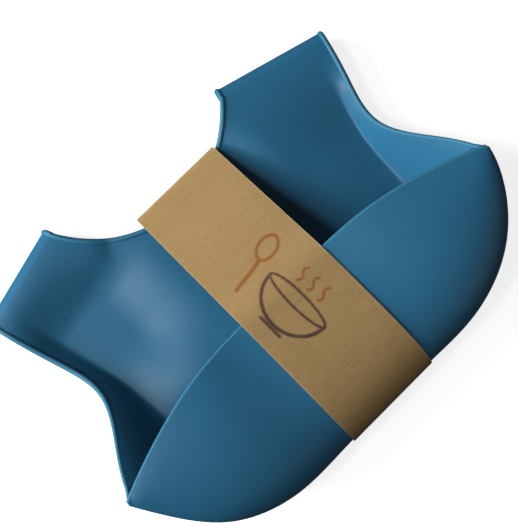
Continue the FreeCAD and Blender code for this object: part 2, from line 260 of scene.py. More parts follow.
SIDE = Curve(SIDE_POINTS)
LOWER = Curve(LOWER_POINTS)
RIM = Curve(mirrored(HALF_RIM) + [RIM_CENTRE] + HALF_RIM[::-1])


class Fold:
    """The line about which one strap is rolled over behind the panel."""

    def __init__(self, side):
        self.side = side
        neck, outer = (np.array(p) for p in FOLD_ENDS[side])
        self.length = np.linalg.norm(outer - neck)
        self.along = (outer - neck) / self.length
        self.sign = 1 if side == "right" else -1
        self.normal = self.sign * np.array((-self.along[1], self.along[0]))
        self.start = neck - self.normal * (FOLD_RADIUS + THICKNESS / 2)

    def distance(self, plan):
        """How far past the start of the roll a point of the plan lies."""
        return (plan - self.start) @ self.normal

    def reach(self, plan):
        """How far along the fold a point of the plan lies, from the neck end."""
        return (plan - self.start) @ self.along

    def rolled(self, q, t):
        """Points of the silicone's middle and the way its outer face looks there.

        q is the distance round the roll and on along the strap, t the distance along the fold.
        """
        q, t = np.broadcast_arrays(np.asarray(q, float), np.asarray(t, float))
        angle = math.pi / 2 - np.clip(q, 0, 2 * HALF_ROLL) / FOLD_RADIUS
        past = np.maximum(q - 2 * HALF_ROLL, 0)
        out = FOLD_RADIUS * np.cos(angle) - past
        plan = self.start + out[..., None] * self.normal + t[..., None] * self.along
        height = FOLD_MIDDLE + FOLD_RADIUS * np.sin(angle)
        points = np.concatenate((plan, height[..., None]), axis=-1)
        facing = np.cos(angle)[..., None] * self.normal
        return points, np.concatenate((facing, np.sin(angle)[..., None]), axis=-1)

    def pattern(self, plan):
        """The q and t of a spot of the strap's plan when it is opened flat."""
        q = 2 * HALF_ROLL + self.distance(plan) - STRAP_ROOT
        return np.stack((q, self.reach(plan)), axis=-1)


RIGHT = Fold("right")
LEFT = Fold("left")
UPWARD = np.array((0.0, 0.0, 1.0))


# ---- the middle surfaces of the panel and the pocket


def hinge_ramp(t, rounding=0.3):
    """0 below the hinge, rising straight above it, with a rounded valley between."""
    curved = (t + rounding) ** 2 / (4 * rounding)
    return np.where(t <= -rounding, 0, np.where(t >= rounding, t, curved))


def floor_height(plan, outward):
    """The height of the panel's middle surface, outward 0 at its centre and 1 at its valleys."""
    x, y = plan[..., 0], plan[..., 1]
    climb = smooth((y - RAMP_START_Y) / (RAMP_END_Y - RAMP_START_Y))
    # it sags on the left of the band, and falls away from its crown toward the valleys
    aside = smooth((-x - SAG_INNER) / (SAG_OUTER - SAG_INNER))
    sag = aside * smooth((SAG_START_Y - y) / (SAG_START_Y - SAG_FULL_Y))
    sag = sag * smooth((y - SAG_END_Y) / (SAG_LOW_Y - SAG_END_Y))
    fall = smooth((outward - CROWN_EDGE) / (1 - CROWN_EDGE))
    high = mix(FLOOR_HIGH, SAG_LEVEL, 1 - (1 - sag) * (1 - fall))
    return mix(FLOOR_LOW, high, climb)


def panel_middle(u, row):
    """Points of the panel: u from -1 to 1 across, row up from the pocket's widest line."""
    u, row = np.broadcast_arrays(np.asarray(u, float), np.asarray(row, float))
    low = LOWER.at((u + 1) / 2)
    turn = math.pi / 2 * np.minimum(row / BOWL_ROWS, 1)
    up = np.maximum(row - BOWL_ROWS, 0) / BODY_ROWS
    start = low[..., :2]
    inward = unit(np.array((0.0, BOWL_AIM_Y)) - start)
    reach = mix(BOWL_WIDTH, BOWL_WIDTH_AT_SIDES, u * u) * (1 - u**8)
    plan = start + inward * (reach * (1 - np.cos(turn)))[..., None]
    top = np.stack((u * SHEET_TOP[0], np.full_like(u, SHEET_TOP[1])), axis=-1)
    plan = mix(plan, top, up[..., None])
    # the outer columns are bent from straight lines to the curved side edge
    corner = np.array(CORNER[:2])
    straight = corner + (SHEET_TOP - corner) * up[..., None]
    side = SIDE.at(SIDE_SHARE_OF_BOWL * (1 - np.cos(turn)) + (1 - SIDE_SHARE_OF_BOWL) * up)
    bend = (side[..., :2] - straight) * (np.abs(u) ** 3)[..., None]
    plan = plan + bend * np.stack((np.sign(u), np.ones_like(u)), axis=-1)
    valley = mix(VALLEY_LOW, VALLEY_HIGH, smooth(up * VALLEY_CLIMB))
    lift = hinge_ramp((np.abs(u) - valley) / (1 - valley))
    height = mix(floor_height(plan, np.abs(u) / valley), side[..., 2], lift)
    # the slope down from each fold is short beside the band and longer away from it
    spread = VALLEY_SPREAD_END - VALLEY_SPREAD_START
    away = smooth((np.abs(plan[..., 0]) - VALLEY_SPREAD_START) / spread)
    for fold in (RIGHT, LEFT):
        width = mix(BAND_VALLEY_WIDTH, VALLEY_WIDTH[fold.side], away)
        height = mix(height, FOLD_TOP, smooth(1 + fold.distance(plan) / width))
    height = low[..., 2] - (low[..., 2] - height) * np.sin(turn)
    return np.concatenate((plan, height[..., None]), axis=-1)


def pocket_middle(share, v):
    """Points of the pocket: share of the way across, v from the widest line to the rim."""
    share, v = np.broadcast_arrays(np.asarray(share, float), np.asarray(v, float))
    low = LOWER.at(share)
    rim = RIM.at(share)
    v = v[..., None]
    over = (rim - low) * (1.0, 1.0, 0.0)
    across = np.clip((share - POCKET_END_SHARE) / (1 - 2 * POCKET_END_SHARE), 0, 1)
    dome = (POCKET_DOME * np.sqrt(np.sin(math.pi * across)))[..., None]
    # the wall leaves the widest line upright and reaches the rim nearly level
    handle_low = low + UPWARD * ((rim - low)[..., 2:] * UPRIGHT_SHARE + dome)
    handle_rim = rim - over * LEVEL_SHARE + UPWARD * dome * RIM_DOME
    lower_part = low * (1 - v) ** 3 + handle_low * (3 * v * (1 - v) ** 2)
    return lower_part + handle_rim * (3 * v**2 * (1 - v)) + rim * v**3


# ---- meshes


def grid_normals(grid):
    """The way each point of a grid faces: the same side as columns crossed with rows."""
    by_row = np.gradient(grid, axis=0)
    by_column = np.gradient(grid, axis=1)
    return unit(np.cross(by_column, by_row))


def grid_faces(rows, columns, first=0):
    """Faces between the neighbouring points of a grid."""
    i, j = np.meshgrid(np.arange(rows - 1), np.arange(columns - 1), indexing="ij")
    a = (first + i * columns + j).ravel()
    return np.stack((a, a + 1, a + columns + 1, a + columns), axis=-1)


def ring_faces(rings, segments):
    """Faces that join rings of points one to the next, with both ends closed."""
    i, j = np.meshgrid(np.arange(rings - 1), np.arange(segments), indexing="ij")
    k = (j + 1) % segments
    corners = (i * segments + j, i * segments + k, (i + 1) * segments + k, (i + 1) * segments + j)
    faces = np.stack(corners, axis=-1).reshape(-1, 4).tolist()
    faces.append(list(range(segments))[::-1])
    faces.append(list(range((rings - 1) * segments, rings * segments)))
    return faces


def thick_sheet(grid, normals, thickness=THICKNESS):
    """Vertices and faces of a closed sheet around a grid of middle points."""
    rows, columns = grid.shape[:2]
    count = rows * columns
    upper = (grid + normals * thickness / 2).reshape(-1, 3)
    lower = (grid - normals * thickness / 2).reshape(-1, 3)
    top = grid_faces(rows, columns)
    under = grid_faces(rows, columns, count)[:, ::-1]
    index = np.arange(count).reshape(rows, columns)
    border = np.concatenate((index[0], index[1:, -1], index[-1, -2::-1], index[-2::-1, 0]))
    a, b = border[:-1], border[1:]
    sides = np.stack((b, a, a + count, b + count), axis=-1)
    return np.concatenate((upper, lower)), np.concatenate((top, under, sides))


def tube(path, normals, radius, lift, segments=14, caps=5):
    """Vertices and faces of a rounded bead along a path, raised toward one face of the sheet."""
    count = len(path)
    radius = np.broadcast_to(np.asarray(radius, float), (count,))
    lift = np.broadcast_to(np.asarray(lift, float), (count,))
    run = unit(np.gradient(path, axis=0))
    centre = path + normals * lift[:, None]
    # a row of shrinking rings rounds off each end
    turn = np.linspace(math.pi / 2, 0, caps, endpoint=False)
    start = centre[0] - run[0] * (radius[0] * np.sin(turn))[:, None]
    end = centre[-1] + run[-1] * (radius[-1] * np.sin(turn[::-1]))[:, None]
    centres = np.concatenate((start, centre, end))
    shrink = np.maximum(np.cos(turn), 0.02)
    radii = np.concatenate((radius[0] * shrink, radius, radius[-1] * shrink[::-1]))
    runs, ups = (np.pad(x, ((caps, caps), (0, 0)), mode="edge") for x in (run, normals))
    across = unit(np.cross(runs, ups))
    ups = np.cross(across, runs)
    a = np.linspace(0, 2 * math.pi, segments, endpoint=False)
    ring = across[:, None] * np.cos(a)[None, :, None] + ups[:, None] * np.sin(a)[None, :, None]
    points = centres[:, None] + ring * radii[:, None, None]
    return points.reshape(-1, 3), ring_faces(len(centres), segments)


def make_object(name, parts, material, sharp_angle=40, marks=None):
    """One mesh object in metres, from (vertices, faces) parts in millimetres.

    marks gives named numbers for the vertices, such as how much of the painted pale highlight of a
    thin edge a spot gets.
    """
    vertices = []
    faces = []
    for points, quads in parts:
        first = len(vertices)
        vertices += (np.asarray(points) * MM).tolist()
        faces += [[first + int(k) for k in quad] for quad in quads]
    mesh = bpy.data.meshes.new(name)
    mesh.from_pydata(vertices, [], faces)
    for mark, values in (marks or {}).items():
        layer = mesh.attributes.new(mark, "FLOAT", "POINT")
        layer.data.foreach_set("value", np.asarray(values, np.float32))
    mesh.shade_smooth()
    mesh.set_sharp_from_angle(angle=math.radians(sharp_angle))
    made = bpy.data.objects.new(name, mesh)
    bpy.context.scene.collection.objects.link(made)
    mesh.materials.append(material)
    return made


# ---- materials


class Paint:
    """A procedural material: a Principled shader and the nodes that lead into it."""

    def __init__(self, name):
        self.material = bpy.data.materials.new(name)
        self.material.use_nodes = True
        self.nodes = self.material.node_tree.nodes
        self.links = self.material.node_tree.links
        self.shader = self.nodes["Principled BSDF"]
        self.place = self.nodes.new("ShaderNodeTexCoord").outputs["Object"]

    def set(self, **values):
        for name, value in values.items():
            self.shader.inputs[name.replace("_", " ")].default_value = value

    def feed(self, name, source):
        self.links.new(source, self.shader.inputs[name])

    def noise(self, scale, stretch=(1, 1, 1), detail=3.0, roughness=0.5):
        """Soft noise with features of about 1 / scale metres."""
        mapping = self.nodes.new("ShaderNodeMapping")
        mapping.inputs["Scale"].default_value = stretch
        self.links.new(self.place, mapping.inputs["Vector"])
        made = self.nodes.new("ShaderNodeTexNoise")
        made.inputs["Scale"].default_value = scale
        made.inputs["Detail"].default_value = detail
        made.inputs["Roughness"].default_value = roughness
        self.links.new(mapping.outputs["Vector"], made.inputs["Vector"])
        return made.outputs["Fac"]

    def between(self, source, low, high, to_low=0.0, to_high=1.0):
        """source, from low to high, spread over another range."""
        made = self.nodes.new("ShaderNodeMapRange")
        for name, value in (("From Min", low), ("From Max", high)):
            made.inputs[name].default_value = value
        for name, value in (("To Min", to_low), ("To Max", to_high)):
            made.inputs[name].default_value = value
        self.links.new(source, made.inputs["Value"])
        return made.outputs["Result"]

    def mark(self, name):
        made = self.nodes.new("ShaderNodeAttribute")
        made.attribute_name = name
        return made.outputs["Fac"]

    def mix(self, share, a, b):
        """Colour a where share is 0 and b where it is 1. Each is a colour or a socket."""
        made = self.nodes.new("ShaderNodeMix")
        made.data_type = "RGBA"
        self.links.new(share, made.inputs["Factor"])
        for value, socket in ((a, made.inputs[6]), (b, made.inputs[7])):
            if isinstance(value, tuple):
                socket.default_value = (*value, 1)
            else:
                self.links.new(value, socket)
        return made.outputs[2]

    def bump(self, *layers):
        """Relief from (source, depth in metres) layers, one over another."""
        normal = None
        for source, depth in layers:
            made = self.nodes.new("ShaderNodeBump")
            made.inputs["Strength"].default_value = 1.0
            made.inputs["Distance"].default_value = depth
            self.links.new(source, made.inputs["Height"])
            if normal:
                self.links.new(normal, made.inputs["Normal"])
            normal = made.outputs["Normal"]
        self.feed("Normal", normal)


def silicone_paint():
    """Matt teal-blue silicone: faintly mottled, and painted paler at its thin edges as a highlight
    of light showing through them.
    """
    paint = Paint("silicone")
    cloud = paint.noise(14, detail=2)
    deep, light = (0.0160, 0.111, 0.211), (0.0190, 0.122, 0.229)
    body = paint.mix(paint.between(cloud, 0.35, 0.65), deep, light)
    grain = paint.noise(1100, detail=2)
    body = paint.mix(paint.between(grain, 0.3, 0.9, 0, 0.16), body, (0.05, 0.17, 0.27))
    # the beads and rims are painted paler: a painted highlight of light through the thin silicone
    edge = paint.between(paint.mark("edge"), 0, 1, 0, 0.4)
    paint.feed("Base Color", paint.mix(edge, body, (0.05, 0.22, 0.33)))
    wear = paint.noise(42, detail=4, roughness=0.6)
    paint.feed("Roughness", paint.between(wear, 0.3, 0.7, 0.35, 0.41))
    paint.set(Specular_IOR_Level=0.5)
    paint.bump((paint.noise(9, detail=1), 0.0016), (grain, 0.000018))
    return paint.material


def card_paint():
    """Brown kraft card with fibres and specks, printed in two inks."""
    paint = Paint("card")
    cloud = paint.noise(25, detail=4)
    brown, pale_brown = (0.274, 0.176, 0.071), (0.312, 0.204, 0.085)
    body = paint.mix(paint.between(cloud, 0.3, 0.7), brown, pale_brown)
    fibre = paint.noise(420, stretch=(0.35, 1.6, 1), detail=5, roughness=0.7)
    body = paint.mix(paint.between(fibre, 0.42, 0.80, 0, 0.38), body, (0.40, 0.285, 0.145))
    shred = paint.noise(520, stretch=(1.5, 0.4, 1), detail=4, roughness=0.65)
    body = paint.mix(paint.between(shred, 0.56, 0.78, 0, 0.42), body, (0.22, 0.13, 0.048))
    speck = paint.noise(700, detail=1)
    body = paint.mix(paint.between(speck, 0.71, 0.78, 0, 0.5), body, (0.12, 0.066, 0.026))
    body = paint.mix(paint.mark("cut"), body, (0.52, 0.40, 0.24))
    # the ink is a little thin where the fibres stand up
    cover = paint.between(fibre, 0.45, 0.75, 0.94, 0.72)
    for ink, colour in (("dark_ink", (0.052, 0.028, 0.026)), ("warm_ink", (0.235, 0.083, 0.022))):
        amount = paint.nodes.new("ShaderNodeMath")
        amount.operation = "MULTIPLY"
        paint.links.new(paint.mark(ink), amount.inputs[0])
        paint.links.new(cover, amount.inputs[1])
        body = paint.mix(amount.outputs[0], body, colour)
    paint.feed("Base Color", body)
    paint.feed("Roughness", paint.between(fibre, 0.3, 0.8, 0.78, 0.92))
    paint.set(Specular_IOR_Level=0.25)
    paint.bump((paint.noise(16, detail=1), 0.0007), (fibre, 0.00004))
    return paint.material


def glue_paint():
    """A dried line of clear glue, milky and uneven."""
    paint = Paint("glue")
    cloud = paint.noise(260, detail=3)
    amber, milky = (0.70, 0.66, 0.54), (0.82, 0.79, 0.70)
    paint.feed("Base Color", paint.mix(paint.between(cloud, 0.3, 0.7), amber, milky))
    paint.feed("Roughness", paint.between(cloud, 0.3, 0.7, 0.35, 0.55))
    paint.bump((cloud, 0.00005))
    return paint.material


def floor_paint():
    """Plain pale studio paper."""
    paint = Paint("floor")
    grain = paint.noise(600, detail=3)
    paint.feed("Base Color", paint.mix(grain, (0.48, 0.48, 0.48), (0.52, 0.52, 0.52)))
    paint.set(Roughness=0.9, Specular_IOR_Level=0.1)
    # the paper is lit a little from behind, which keeps shadows on it pale
    paint.set(Emission_Color=(1, 1, 1, 1), Emission_Strength=0.82)
    return paint.material


SILICONE = silicone_paint()
CARD = card_paint()
GLUE = glue_paint()


# ---- the moulding


def top_rows(u):
    """The row at which each column of the panel meets the neckline or the start of a fold."""
    low = np.full_like(u, BOWL_ROWS + 2.0)
    high = np.full_like(u, float(BOWL_ROWS + BODY_ROWS))
    for _ in range(40):
        row = (low + high) / 2
        plan = panel_middle(u, row)[..., :2]
        inside = past_the_edge(plan) < 0
        low = np.where(inside, row, low)
        high = np.where(inside, high, row)
    return high


def past_the_edge(plan):
    """Negative on the panel, positive past its neckline or the start of a fold."""
    neck = NECK_RADIUS + BEAD - np.linalg.norm(plan - NECK_CENTRE, axis=-1)
    return np.maximum(neck, np.maximum(RIGHT.distance(plan), LEFT.distance(plan)))


def neck_column(fold, edge):
    """The column that ends where the neckline meets the start of a fold."""
    low, high = 0.0, fold.sign * edge
    for _ in range(40):
        u = np.array([(low + high) / 2])
        plan = panel_middle(u, top_rows(u))[0, :2]
        if np.linalg.norm(plan - NECK_CENTRE) < NECK_RADIUS + BEAD + 1e-4:
            low = u[0]
        else:
            high = u[0]
    return (low + high) / 2


def panel_grid():
    """Middle points of the panel, with columns on both ends of its neckline."""
    edge = 1 - BEAD / CORNER[0]
    left = neck_column(LEFT, edge)
    right = neck_column(RIGHT, edge)
    columns = np.concatenate(
        (
            np.linspace(-edge, left, SIDE_COLUMNS, endpoint=False),
            np.linspace(left, right, NECK_COLUMNS, endpoint=False),
            np.linspace(right, edge, SIDE_COLUMNS + 1),
        )
    )
    bowl = BOWL_ROWS * np.linspace(0, 1, BOWL_MESH_ROWS, endpoint=False)
    climb = np.linspace(0, 1, CLIMB_MESH_ROWS)
    ends = top_rows(columns)
    rows = np.concatenate(
        (
            np.repeat(bowl[:, None], len(columns), 1),
            BOWL_ROWS + climb[:, None] * (ends - BOWL_ROWS),
        )
    )
    return panel_middle(columns[None, :], rows)


def painted_highlight_marks(parts):
    """0 on the first part, a sheet, and 1 on the beads and rings that follow it, which are painted
    paler as a highlight.
    """
    counts = [len(points) for points, _ in parts]
    return {"edge": np.repeat([0.0] + [1.0] * (len(parts) - 1), counts)}


def side_radius(path):
    """The side edge is a full bead beside the folds and a fine rounded edge at the corner."""
    return mix(FINE_EDGE, BEAD, smooth((path[:, 1] - BEAD_FADE_Y) / BEAD_FADE_LENGTH))


def build_panel(grid):
    """The panel's sheet with a bead along its neckline and both side edges."""
    normals = grid_normals(grid)
    parts = [thick_sheet(grid, normals)]
    neck = slice(SIDE_COLUMNS, SIDE_COLUMNS + NECK_COLUMNS + 1)
    parts.append(tube(grid[-1, neck], normals[-1, neck], BEAD, BEAD_LIFT))
    for column in (0, -1):
        path = grid[:, column]
        radius = side_radius(path)
        lift = BEAD_LIFT * (radius - FINE_EDGE) / (BEAD - FINE_EDGE)
        outward = unit(path - grid[:, 1 if column == 0 else -2])
        path = path + outward * (BEAD - radius)[:, None]
        parts.append(tube(path, normals[:, column], radius, lift))
    panel = make_object("bib_panel_soft", parts, SILICONE, marks=painted_highlight_marks(parts))
    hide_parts("bib_panel")
    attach(panel, "bib")


def build_pocket():
    """The pocket's wall with a fine rounded rim."""
    share = np.linspace(POCKET_INSET, 1 - POCKET_INSET, POCKET_COLUMNS)
    v = np.linspace(0, 1, POCKET_MESH_ROWS)
    grid = pocket_middle(share[None, :], v[:, None])
    normals = grid_normals(grid)
    parts = [thick_sheet(grid, normals), tube(grid[-1], normals[-1], FINE_EDGE, 0.0)]
    pocket = make_object("catch_pocket_soft", parts, SILICONE, marks=painted_highlight_marks(parts))
    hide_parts("catch_pocket")
    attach(pocket, "bib")


def strap_half(angle):
    """Half the strap's width at an angle up from level around its circle."""
    share = np.clip((STRAP_TAPER_ANGLE - angle) / STRAP_TAPER_SPAN, 0, 1.1)
    return mix(STRAP_TIP_HALF, STRAP_ROOT_HALF, share**3)


def ring_point(angle, radius, fold):
    """A spot of the circle that one strap follows when it is opened flat."""
    a = np.radians(angle)
    x = STRAP_CENTRE_X + fold.sign * radius * np.cos(a)
    return np.stack((x, STRAP_CENTRE_Y[fold.side] + radius * np.sin(a)), axis=-1)


def hermite(a, slope_a, b, slope_b, span, x):
    """A cubic from a to b over a span, with given slopes at its ends."""
    s = x / span
    ends = a * (1 + 2 * s) * (1 - s) ** 2 + b * (3 - 2 * s) * s**2
    return ends + span * s * (1 - s) * (slope_a * (1 - s) - slope_b * s)


def under_neckline(fold, pattern):
    """The strap's inner edge, kept under the panel where the strap leaves the roll."""
    past = np.maximum(pattern[:, 0] - 2 * HALF_ROLL, 0)
    away = fold.start - NECK_CENTRE - past[:, None] * fold.normal
    along = away @ fold.along
    beyond = np.sum(away**2, axis=1) - (NECK_RADIUS + BEAD) ** 2
    neckline = np.sqrt(np.maximum(along**2 - beyond, 0)) - along
    hidden = neckline + STRAP_TUCK * smooth(past / STRAP_TUCK_LENGTH)
    reach = np.where(past > 0, np.maximum(pattern[:, 1], hidden), pattern[:, 1])
    return np.stack((pattern[:, 0], reach), axis=-1)


def strap_edges(fold, panel_ends):
    """The q and t of the strap's two edges, row by row, from the panel to its round end.

    panel_ends has the plan of the panel's two corners at the fold, the neck one first.
    """
    tip = math.degrees(STRAP_TIP_HALF / STRAP_RADIUS)
    angles = np.linspace(STRAP_START_ANGLE, STRAP_END_ANGLE - tip, 9)
    edges = []
    for sign, panel_end in zip((-1, 1), panel_ends):
        reach = BEAD if sign < 0 else fold.length - BEAD
        radius = STRAP_RADIUS + sign * (strap_half(angles) - BEAD)
        points = [(2 * HALF_ROLL, reach)]
        points += fold.pattern(ring_point(angles, radius, fold)).tolist()
        strap = Curve(points)
        first = strap.at(0.001) - strap.at(0)
        slope = first[1] / first[0] * (ROLL_EASE if sign < 0 else 1)
        q = np.linspace(0, 2 * HALF_ROLL, ROLL_ROWS + 1)
        roll = hermite(fold.reach(panel_end), 0, reach, slope, 2 * HALF_ROLL, q)
        side = [np.stack((q, roll), axis=-1), strap.at(np.linspace(0, 1, STRAP_ROWS + 1)[1:])]
        # the round end of the strap
        around = np.radians(np.linspace(0, 89, ROUND_END_ROWS + 1)[1:])
        half = strap_half(angles[-1]) - BEAD
        nose = angles[-1] + np.degrees(half * np.sin(around) / STRAP_RADIUS)
        spots = ring_point(nose, STRAP_RADIUS + sign * half * np.cos(around), fold)
        side.append(fold.pattern(spots))
        edge = np.concatenate(side)
        edges.append(under_neckline(fold, edge) if sign < 0 else edge)
    return edges


def bead_lift(q):
    """The bead stands proud of the outer face on the panel, and of the inner one on the strap."""
    return mix(BEAD_LIFT, STRAP_BEAD_LIFT, smooth((q - HALF_ROLL) / HALF_ROLL))


def strap_part(fold, edges, rows):
    """The sheet of some rows of a strap."""
    inner, outer = (edge[rows] for edge in edges)
    share = np.linspace(0, 1, STRAP_COLUMNS)[None, :, None]
    pattern = mix(inner[:, None], outer[:, None], share)
    grid, normals = fold.rolled(pattern[..., 0], pattern[..., 1])
    made = grid_normals(grid)
    if np.sum(made * normals) < 0:
        grid, normals = grid[:, ::-1], normals[:, ::-1]
    return thick_sheet(grid, normals)


def bead_part(fold, path):
    """The bead along an edge of the strap, given by its q and t."""
    points, normals = fold.rolled(path[:, 0], path[:, 1])
    return tube(points, normals, BEAD, bead_lift(path[:, 0]))


def fastener_angle(n):
    """Where a stud or hole stands around its strap, counted from the end inward."""
    inset = math.degrees(STUD_END_DISTANCE / STRAP_RADIUS)
    return STRAP_END_ANGLE - inset - n * STUD_PITCH_ANGLE


def folded_spot(fold, angle):
    """Where a spot of the strap's own circle lies once the strap is folded back."""
    pattern = fold.pattern(ring_point(angle, STRAP_RADIUS, fold))
    return fold.rolled(pattern[0], pattern[1])[0]


def pierced(part, spots):
    """A level sheet with a round hole at each spot."""
    sheet = make_object("sheet_to_pierce", [part], SILICONE)
    cutters = []
    for spot in spots:
        bpy.ops.mesh.primitive_cylinder_add(
            vertices=40, radius=HOLE_RADIUS * MM, depth=12 * MM, location=spot * MM
        )
        cutters.append(bpy.context.object)
        change = sheet.modifiers.new("hole", "BOOLEAN")
        change.object = cutters[-1]
        change.solver = "EXACT"
    ready = sheet.evaluated_get(bpy.context.evaluated_depsgraph_get()).to_mesh()
    points = np.array([v.co for v in ready.vertices]) / MM
    faces = [tuple(face.vertices) for face in ready.polygons]
    for extra in cutters + [sheet]:
        bpy.data.objects.remove(extra)
    return points, faces


def hole_ring(spot):
    """The low raised ring moulded around a hole, on the strap's upper face."""
    a = np.linspace(0, 2 * math.pi, 41)
    reach = HOLE_RADIUS + HOLE_RING
    path = spot + np.stack((reach * np.cos(a), reach * np.sin(a), np.zeros_like(a)), axis=-1)
    up = np.tile(UPWARD, (len(a), 1))
    return tube(path + up * (THICKNESS / 2 - 0.1), up, HOLE_RING, 0.0, segments=10)


def build_strap(fold, panel):
    """The rolled fold in two halves, the second with its strap."""
    side = fold.side
    columns = {"left": [SIDE_COLUMNS, 0], "right": [SIDE_COLUMNS + NECK_COLUMNS, -1]}
    edges = strap_edges(fold, panel[-1, columns[side], :2])
    upper = slice(0, ROLL_ROWS // 2 + 1)
    lower = slice(ROLL_ROWS // 2, None)
    first = [strap_part(fold, edges, upper)]
    first += [bead_part(fold, edge[upper]) for edge in edges]
    roll = make_object(side + "_shoulder_roll", first, SILICONE, marks=painted_highlight_marks(first))
    second = [strap_part(fold, edges, lower)]
    outline = np.concatenate((edges[0][lower], edges[1][lower][::-1]))
    second.append(bead_part(fold, outline))
    if side == "left":
        holes = [folded_spot(fold, fastener_angle(n)) for n in range(HOLES)]
        second[0] = pierced(second[0], holes)
        second += [hole_ring(hole) for hole in holes]
    strap = make_object(side + "_strap_soft", second, SILICONE, marks=painted_highlight_marks(second))
    middle = fold.length / 2
    top, outermost, bottom = (
        fold.rolled(q, middle)[0] * MM for q in (0, HALF_ROLL, 2 * HALF_ROLL)
    )
    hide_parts(side + "_fold")
    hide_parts(side + "_strap")
    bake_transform(roll)
    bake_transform(strap)


panel_points = panel_grid()
build_panel(panel_points)
build_pocket()
build_strap(RIGHT, panel_points)
build_strap(LEFT, panel_points)

# ---- the studs


def build_stud(n):
    """A mushroom stud turned from a profile: a flared foot, a neck and a rounded cap."""
    sunk = 0.2
    foot = folded_spot(RIGHT, fastener_angle(n)) + UPWARD * (THICKNESS / 2 - sunk)
    neck_top = STUD_NECK_HEIGHT + sunk
    top = STUD_HEIGHT + sunk
    # radius and height, from the foot up
    profile = [(3.1, 0.0), (2.9, 0.25), (2.45, 0.5), (STUD_NECK, 0.95), (STUD_NECK, neck_top - 0.35)]
    profile += [(2.4, neck_top - 0.12), (3.2, neck_top), (STUD_CAP, neck_top + 0.22)]
    profile += [(3.25, neck_top + 0.5), (2.9, neck_top + 0.85), (2.2, top - 0.15), (1.2, top - 0.02)]
    path = Curve([(r, h, 0.0) for r, h in profile]).at(np.linspace(0, 1, STUD_RINGS))
    a = np.linspace(0, 2 * math.pi, STUD_SEGMENTS, endpoint=False)
    around = np.stack((np.cos(a), np.sin(a), np.zeros_like(a)), axis=-1)
    rings = foot + around[None] * path[:, None, :1] + UPWARD * path[:, None, 1:2]
    faces = ring_faces(STUD_RINGS, STUD_SEGMENTS)
    points = rings.reshape(-1, 3)
    name = f"stud_{n + 1}"
    # the stud is painted half as pale as the beads, a painted highlight
    marks = {"edge": np.full(len(points), 0.5)}
    stud = make_object(name + "_turned", [(points, faces)], SILICONE, marks=marks)
    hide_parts(name)
    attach(stud, "right_strap")


# ---- the card sleeve and its printed drawing


def sleeve_line():
    """The middle line of the card, as y and z, from its inner lap round to its outer lap."""
    foot = BOTTOM[1] + BOWL_WIDTH
    base = BOTTOM[2]
    off = THICKNESS / 2 + SLEEVE_CLEARANCE
    line = [(mix(LAP_INNER_Y, foot, n / 4), LAP_UPPER) for n in range(4)]
    for n in range(9):
        a = math.pi / 2 * n / 9
        reach = BOWL_WIDTH + off
        line.append((foot - reach * math.sin(a), base - (base - LAP_UPPER) * math.cos(a)))
    wall = pocket_middle(0.5, np.linspace(0, 1, WALL_STEPS + 1))[:, 1:]
    here = np.arange(WALL_STEPS + 1)
    run = wall[np.minimum(here + 1, WALL_STEPS)] - wall[np.maximum(here - 1, 0)]
    wall = wall + off * unit(np.stack((-run[:, 1], run[:, 0]), axis=-1))
    line += wall.tolist()
    turn = (SLEEVE_NECK_TOP - SLEEVE_BACK) / 2
    far = SLEEVE_NECK_Y - turn
    top = np.array((far, SLEEVE_NECK_TOP))
    line += [mix(wall[-1], top, n / 6).tolist() for n in range(1, 6)]
    for n in range(9):
        a = math.radians(mix(75, -90, n / 8))
        line.append((far + turn * math.cos(a), SLEEVE_BACK + turn + turn * math.sin(a)))
    for n in range(1, 61):
        y = mix(far, LAP_OUTER_Y, n / 60)
        rise = float(smooth((y - LAP_INNER_Y) / LAP_RISE_LENGTH))
        line.append((y, mix(CARD_THICKNESS / 2, SLEEVE_BACK, rise)))
    return Curve(line)


def near_path(p, q, path, width):
    """How fully a pen of that width, drawn along a path of points, covers the spots (p, q)."""
    nearest = np.full(p.shape, 1e9)
    for (ax, ay), (bx, by) in zip(path[:-1], path[1:]):
        dx, dy = bx - ax, by - ay
        share = np.clip(((p - ax) * dx + (q - ay) * dy) / (dx * dx + dy * dy), 0, 1)
        nearest = np.minimum(nearest, np.hypot(p - ax - share * dx, q - ay - share * dy))
    return np.clip((width / 2 - nearest) / PEN_SOFTNESS + 0.5, 0, 1)


def arc_path(centre, radii, start, end, turned=0.0, steps=28):
    """Points of part of an ellipse, its angles in degrees."""
    a = np.radians(np.linspace(start, end, steps))
    x, y = radii[0] * np.cos(a), radii[1] * np.sin(a)
    c, s = math.cos(math.radians(turned)), math.sin(math.radians(turned))
    return list(zip(centre[0] + x * c - y * s, centre[1] + x * s + y * c))


def wave_path(start, height, sway):
    """Points of one wave of steam rising from its start."""
    t = np.linspace(0, 1, 14)
    return list(zip(start[0] + sway * np.sin(t * 2 * math.pi), start[1] + height * t))


def printed(p, q):
    """The two inks of a plain drawing of a steaming bowl and a spoon, p along it and q up it."""
    rim, rim_radii, bowl_radii = (9.0, 0.5), (17.0, 3.4), (17.0, 15.5)
    dark = [near_path(p, q, arc_path(rim, rim_radii, 0, 360, steps=60), 1.2)]
    dark.append(near_path(p, q, arc_path(rim, bowl_radii, 180, 360, steps=50), 1.7))
    stand = [(3.0, -16.6), (15.0, -16.6)]
    dark.append(near_path(p, q, stand, 1.5))
    spoon = arc_path((-18.5, 8.0), (4.4, 6.6), 0, 360, turned=14, steps=44)
    handle = [(-16.9, 1.4), (-15.6, -4.0), (-14.2, -15.5)]
    warm = [near_path(p, q, spoon, 1.5), near_path(p, q, handle, 1.9)]
    for steam in (2.5, 9.0, 15.5):
        warm.append(near_path(p, q, wave_path((steam, 6.8), 7.6, 1.1), 1.2))
    return np.max(dark, axis=0), np.max(warm, axis=0)


